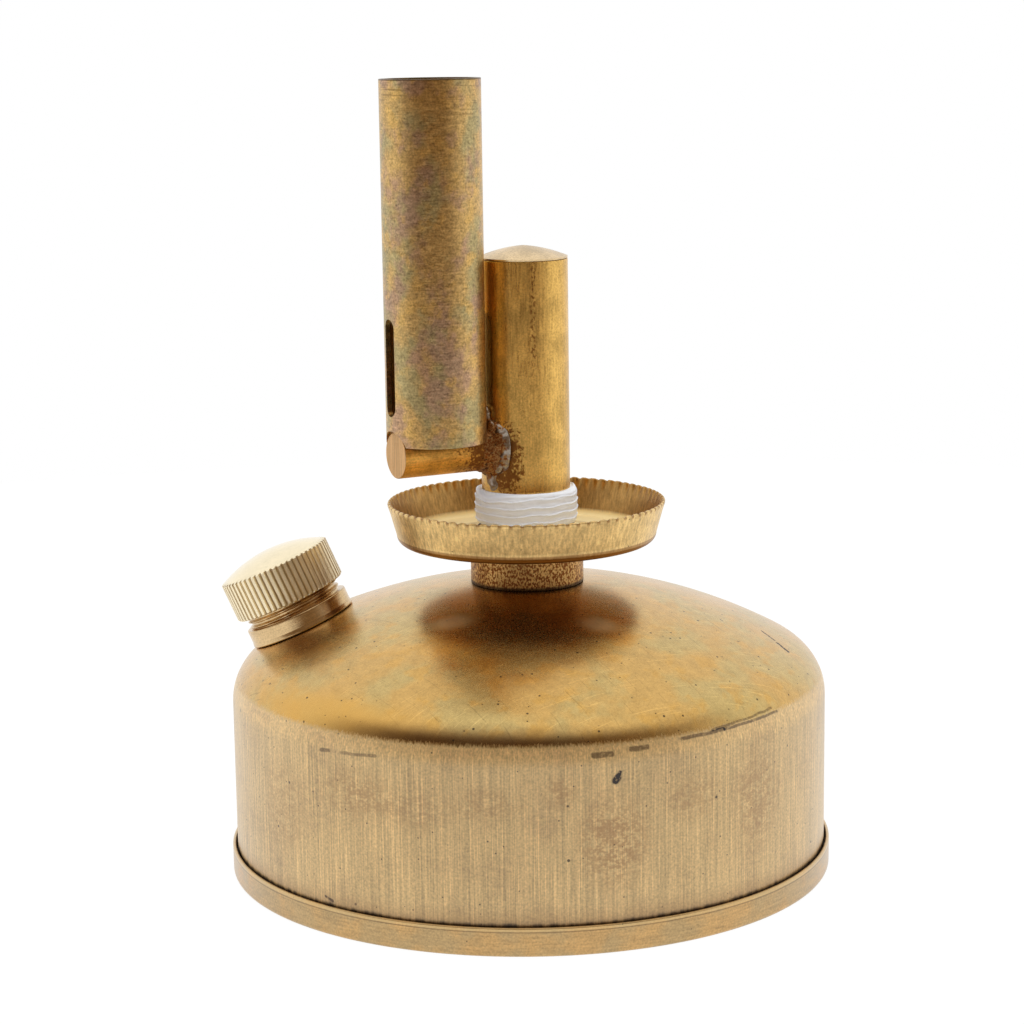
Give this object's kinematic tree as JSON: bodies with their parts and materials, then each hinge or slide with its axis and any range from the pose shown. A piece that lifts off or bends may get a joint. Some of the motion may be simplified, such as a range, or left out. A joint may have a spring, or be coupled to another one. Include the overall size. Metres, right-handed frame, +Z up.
{
  "type": "spirit blast burner",
  "caption": "Brass table burner for spirit: domed tank with leaning screw cap, preheating tray, upright vaporiser and a slotted burner tube beside it on a cross arm.",
  "frame": {"origin": "centre of the base's flat underside, on the tank's axis", "axes": "+Z up along the tank's and the vaporiser's axis; the filler neck leans towards -X"},
  "size_m": [0.1116, 0.11, 0.1429],
  "materials": {
    "tank_brass": "satin dome, upright-brushed wall, aged",
    "pan_brass": "plain drawn sheet",
    "boss_brass": "grainy, tarnished",
    "tray_brass": "bright drawn sheet with upright streaks",
    "neck_brass": "turned, bright",
    "cap_brass": "turned and fluted, polished crown",
    "foot_brass": "turned thread",
    "vaporiser_brass": "heat-tinted, upright streaks",
    "cone_brass": "turned, pale",
    "arm_brass": "heat-tinted, corroded at the joint",
    "jet_brass": "turned",
    "burner_brass": "mottled tarnish with fine scratches",
    "soft_solder": "dull",
    "silver_braze": "dull, pitted",
    "seal_tape_white": "soft sheen",
    "gasket_rubber": "matt",
    "wick_cotton": "twisted cotton"
  },
  "bodies": {
    "tank": {"tank_shell": "tank_brass", "base_pan": "pan_brass", "base_solder": "soft_solder", "head_boss": "boss_brass", "boss_solder": "soft_solder", "preheat_tray": "tray_brass", "tray_solder": "soft_solder", "filler_neck": "neck_brass", "neck_solder": "soft_solder"},
    "cap_washer": {"cap_gasket": "gasket_rubber"},
    "cap": {"filler_cap": "cap_brass"},
    "wick_bundle": {"wick": "wick_cotton"},
    "head": {"threaded_foot": "foot_brass", "vaporiser_tube": "vaporiser_brass", "vaporiser_cap": "cone_brass", "vapour_arm": "arm_brass", "jet_nozzle": "jet_brass", "burner_tube": "burner_brass", "arm_braze": "silver_braze", "tube_braze": "silver_braze", "tape_core": "seal_tape_white", "seal_tape": "seal_tape_white"}
  },
  "joints": [
    {"name": "cap_lift", "type": "slide", "parent": "tank", "child": "cap_washer", "axis": [-0.4067, 0, 0.9135], "range_m": [0, 0.0056]},
    {"name": "cap_turn", "type": "hinge", "parent": "cap_washer", "child": "cap", "pos_m": [-0.04474, 0, 0.05019], "axis": [-0.4067, 0, 0.9135], "range_deg": [0, 1980]},
    {"name": "wick_lift", "type": "slide", "parent": "tank", "child": "wick_bundle", "axis": [0, 0, 1], "range_m": [0, 0.0091]},
    {"name": "head_turn", "type": "hinge", "parent": "wick_bundle", "child": "head", "pos_m": [0, 0, 0.0629], "axis": [0, 0, 1], "range_deg": [0, 2160]}
  ],
  "couplings": [
    {"joint": "cap_lift", "follows": "cap_turn", "m_per_rad": 0.00015915},
    {"joint": "wick_lift", "follows": "head_turn", "m_per_rad": 0.00023873}
  ]
}
